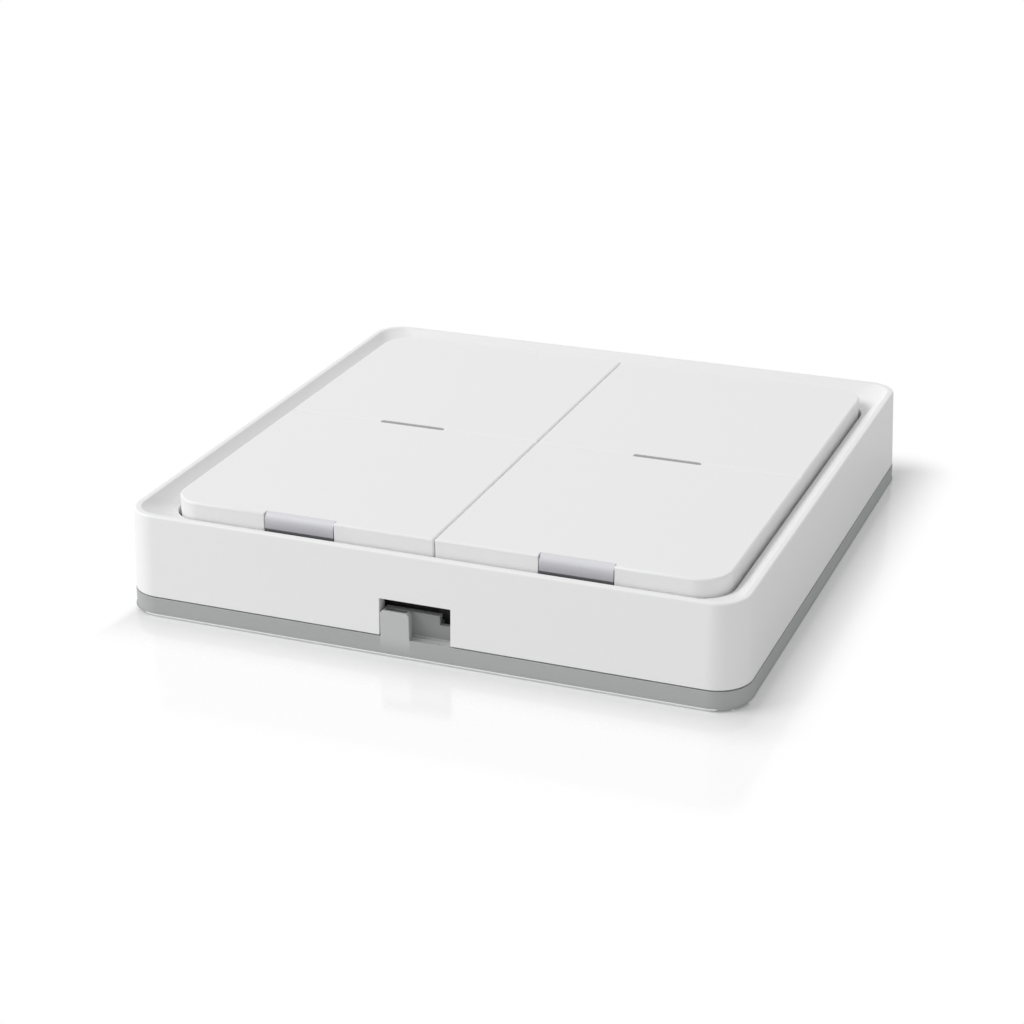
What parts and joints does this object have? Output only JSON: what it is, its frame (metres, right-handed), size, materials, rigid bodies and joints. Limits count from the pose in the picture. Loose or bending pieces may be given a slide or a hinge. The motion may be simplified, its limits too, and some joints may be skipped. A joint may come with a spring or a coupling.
{
  "type": "smart light switch",
  "caption": "Square battery-powered wall switch: white frame on a grey clip-on wall plate, side-by-side rockers with inlaid ticks and indicator light guides.",
  "frame": {"origin": "centre of the wall plate's back face", "axes": "+Z out of the wall to the rockers, +X to the right, -Y the edge with the pry notch, which is the lower edge on a wall"},
  "size_m": [0.086, 0.086, 0.0146],
  "materials": {
    "white_plastic": "fine satin moulded polycarbonate",
    "grey_plastic": "fine matt moulded plastic",
    "inner_plastic": "plain dark moulded ABS",
    "tick_plastic": "matt grey inlay",
    "light_guide_plastic": "smooth translucent moulding",
    "led_resin": "clear resin over a phosphor",
    "board_laminate": "solder-masked laminate",
    "black_plastic": "glass-filled nylon",
    "button_plastic": "moulded acetal",
    "sheet_steel": "tinned sheet",
    "cell_steel": "nickel-plated can",
    "contact_nickel": "nickel-plated spring strip",
    "capacitor_resin": "moulded epoxy",
    "chip_ceramic": "fired ceramic with tinned ends",
    "screw_steel": "zinc-plated"
  },
  "bodies": {
    "housing": {"wall_plate": "grey_plastic", "front_cover": "white_plastic", "chassis": "inner_plastic", "rear_cover": "inner_plastic", "circuit_board": "board_laminate", "left_indicator_led": "led_resin", "right_indicator_led": "led_resin", "switch_metal_covers": "sheet_steel", "coin_cell": "cell_steel", "battery_holder": "black_plastic", "negative_contact": "contact_nickel", "positive_contact": "contact_nickel", "radio_board": "board_laminate", "radio_shield": "sheet_steel", "pairing_switch_body": "black_plastic", "crystal": "sheet_steel", "bulk_capacitor": "capacitor_resin", "chip_parts": "chip_ceramic", "case_screws": "screw_steel", "front_left_switch_body": "black_plastic", "front_right_switch_body": "black_plastic", "rear_left_switch_body": "black_plastic", "rear_right_switch_body": "black_plastic"},
    "left_rocker": {"left_rocker": "white_plastic", "left_tick_inlay": "tick_plastic", "left_light_guide": "light_guide_plastic"},
    "right_rocker": {"right_rocker": "white_plastic", "right_tick_inlay": "tick_plastic", "right_light_guide": "light_guide_plastic"},
    "front_left_button": {"front_left_switch_button": "button_plastic"},
    "front_right_button": {"front_right_switch_button": "button_plastic"},
    "rear_left_button": {"rear_left_switch_button": "button_plastic"},
    "rear_right_button": {"rear_right_switch_button": "button_plastic"},
    "pairing_button": {"pairing_button": "button_plastic"},
    "battery_door": {"battery_door": "inner_plastic"}
  },
  "joints": [
    {"name": "left_rocker_tilt", "type": "hinge", "parent": "housing", "child": "left_rocker", "pos_m": [-0.0195, 0, 0.011], "axis": [1, 0, 0], "range_deg": [-1.03, 1.03], "stiffness_Nm_per_rad": 2.2},
    {"name": "front_left_press", "type": "slide", "parent": "housing", "child": "front_left_button", "axis": [0, 0, 1], "range_m": [-0.00045, 0.00045]},
    {"name": "rear_left_press", "type": "slide", "parent": "housing", "child": "rear_left_button", "axis": [0, 0, 1], "range_m": [-0.00045, 0.00045]},
    {"name": "right_rocker_tilt", "type": "hinge", "parent": "housing", "child": "right_rocker", "pos_m": [0.0195, 0, 0.011], "axis": [1, 0, 0], "range_deg": [-1.03, 1.03], "stiffness_Nm_per_rad": 2.2},
    {"name": "front_right_press", "type": "slide", "parent": "housing", "child": "front_right_button", "axis": [0, 0, 1], "range_m": [-0.00045, 0.00045]},
    {"name": "rear_right_press", "type": "slide", "parent": "housing", "child": "rear_right_button", "axis": [0, 0, 1], "range_m": [-0.00045, 0.00045]},
    {"name": "pairing_press", "type": "slide", "parent": "housing", "child": "pairing_button", "axis": [0, 0, 1], "range_m": [0, 0.0003], "stiffness_N_per_m": 3000},
    {"name": "battery_door_turn", "type": "hinge", "parent": "housing", "child": "battery_door", "pos_m": [0, 0.008, 0.0018], "axis": [0, 0, 1], "range_deg": [0, 30]}
  ],
  "couplings": [
    {"joint": "front_left_press", "follows": "left_rocker_tilt", "m_per_rad": -0.025},
    {"joint": "rear_left_press", "follows": "left_rocker_tilt", "m_per_rad": 0.025},
    {"joint": "front_right_press", "follows": "right_rocker_tilt", "m_per_rad": -0.025},
    {"joint": "rear_right_press", "follows": "right_rocker_tilt", "m_per_rad": 0.025}
  ]
}
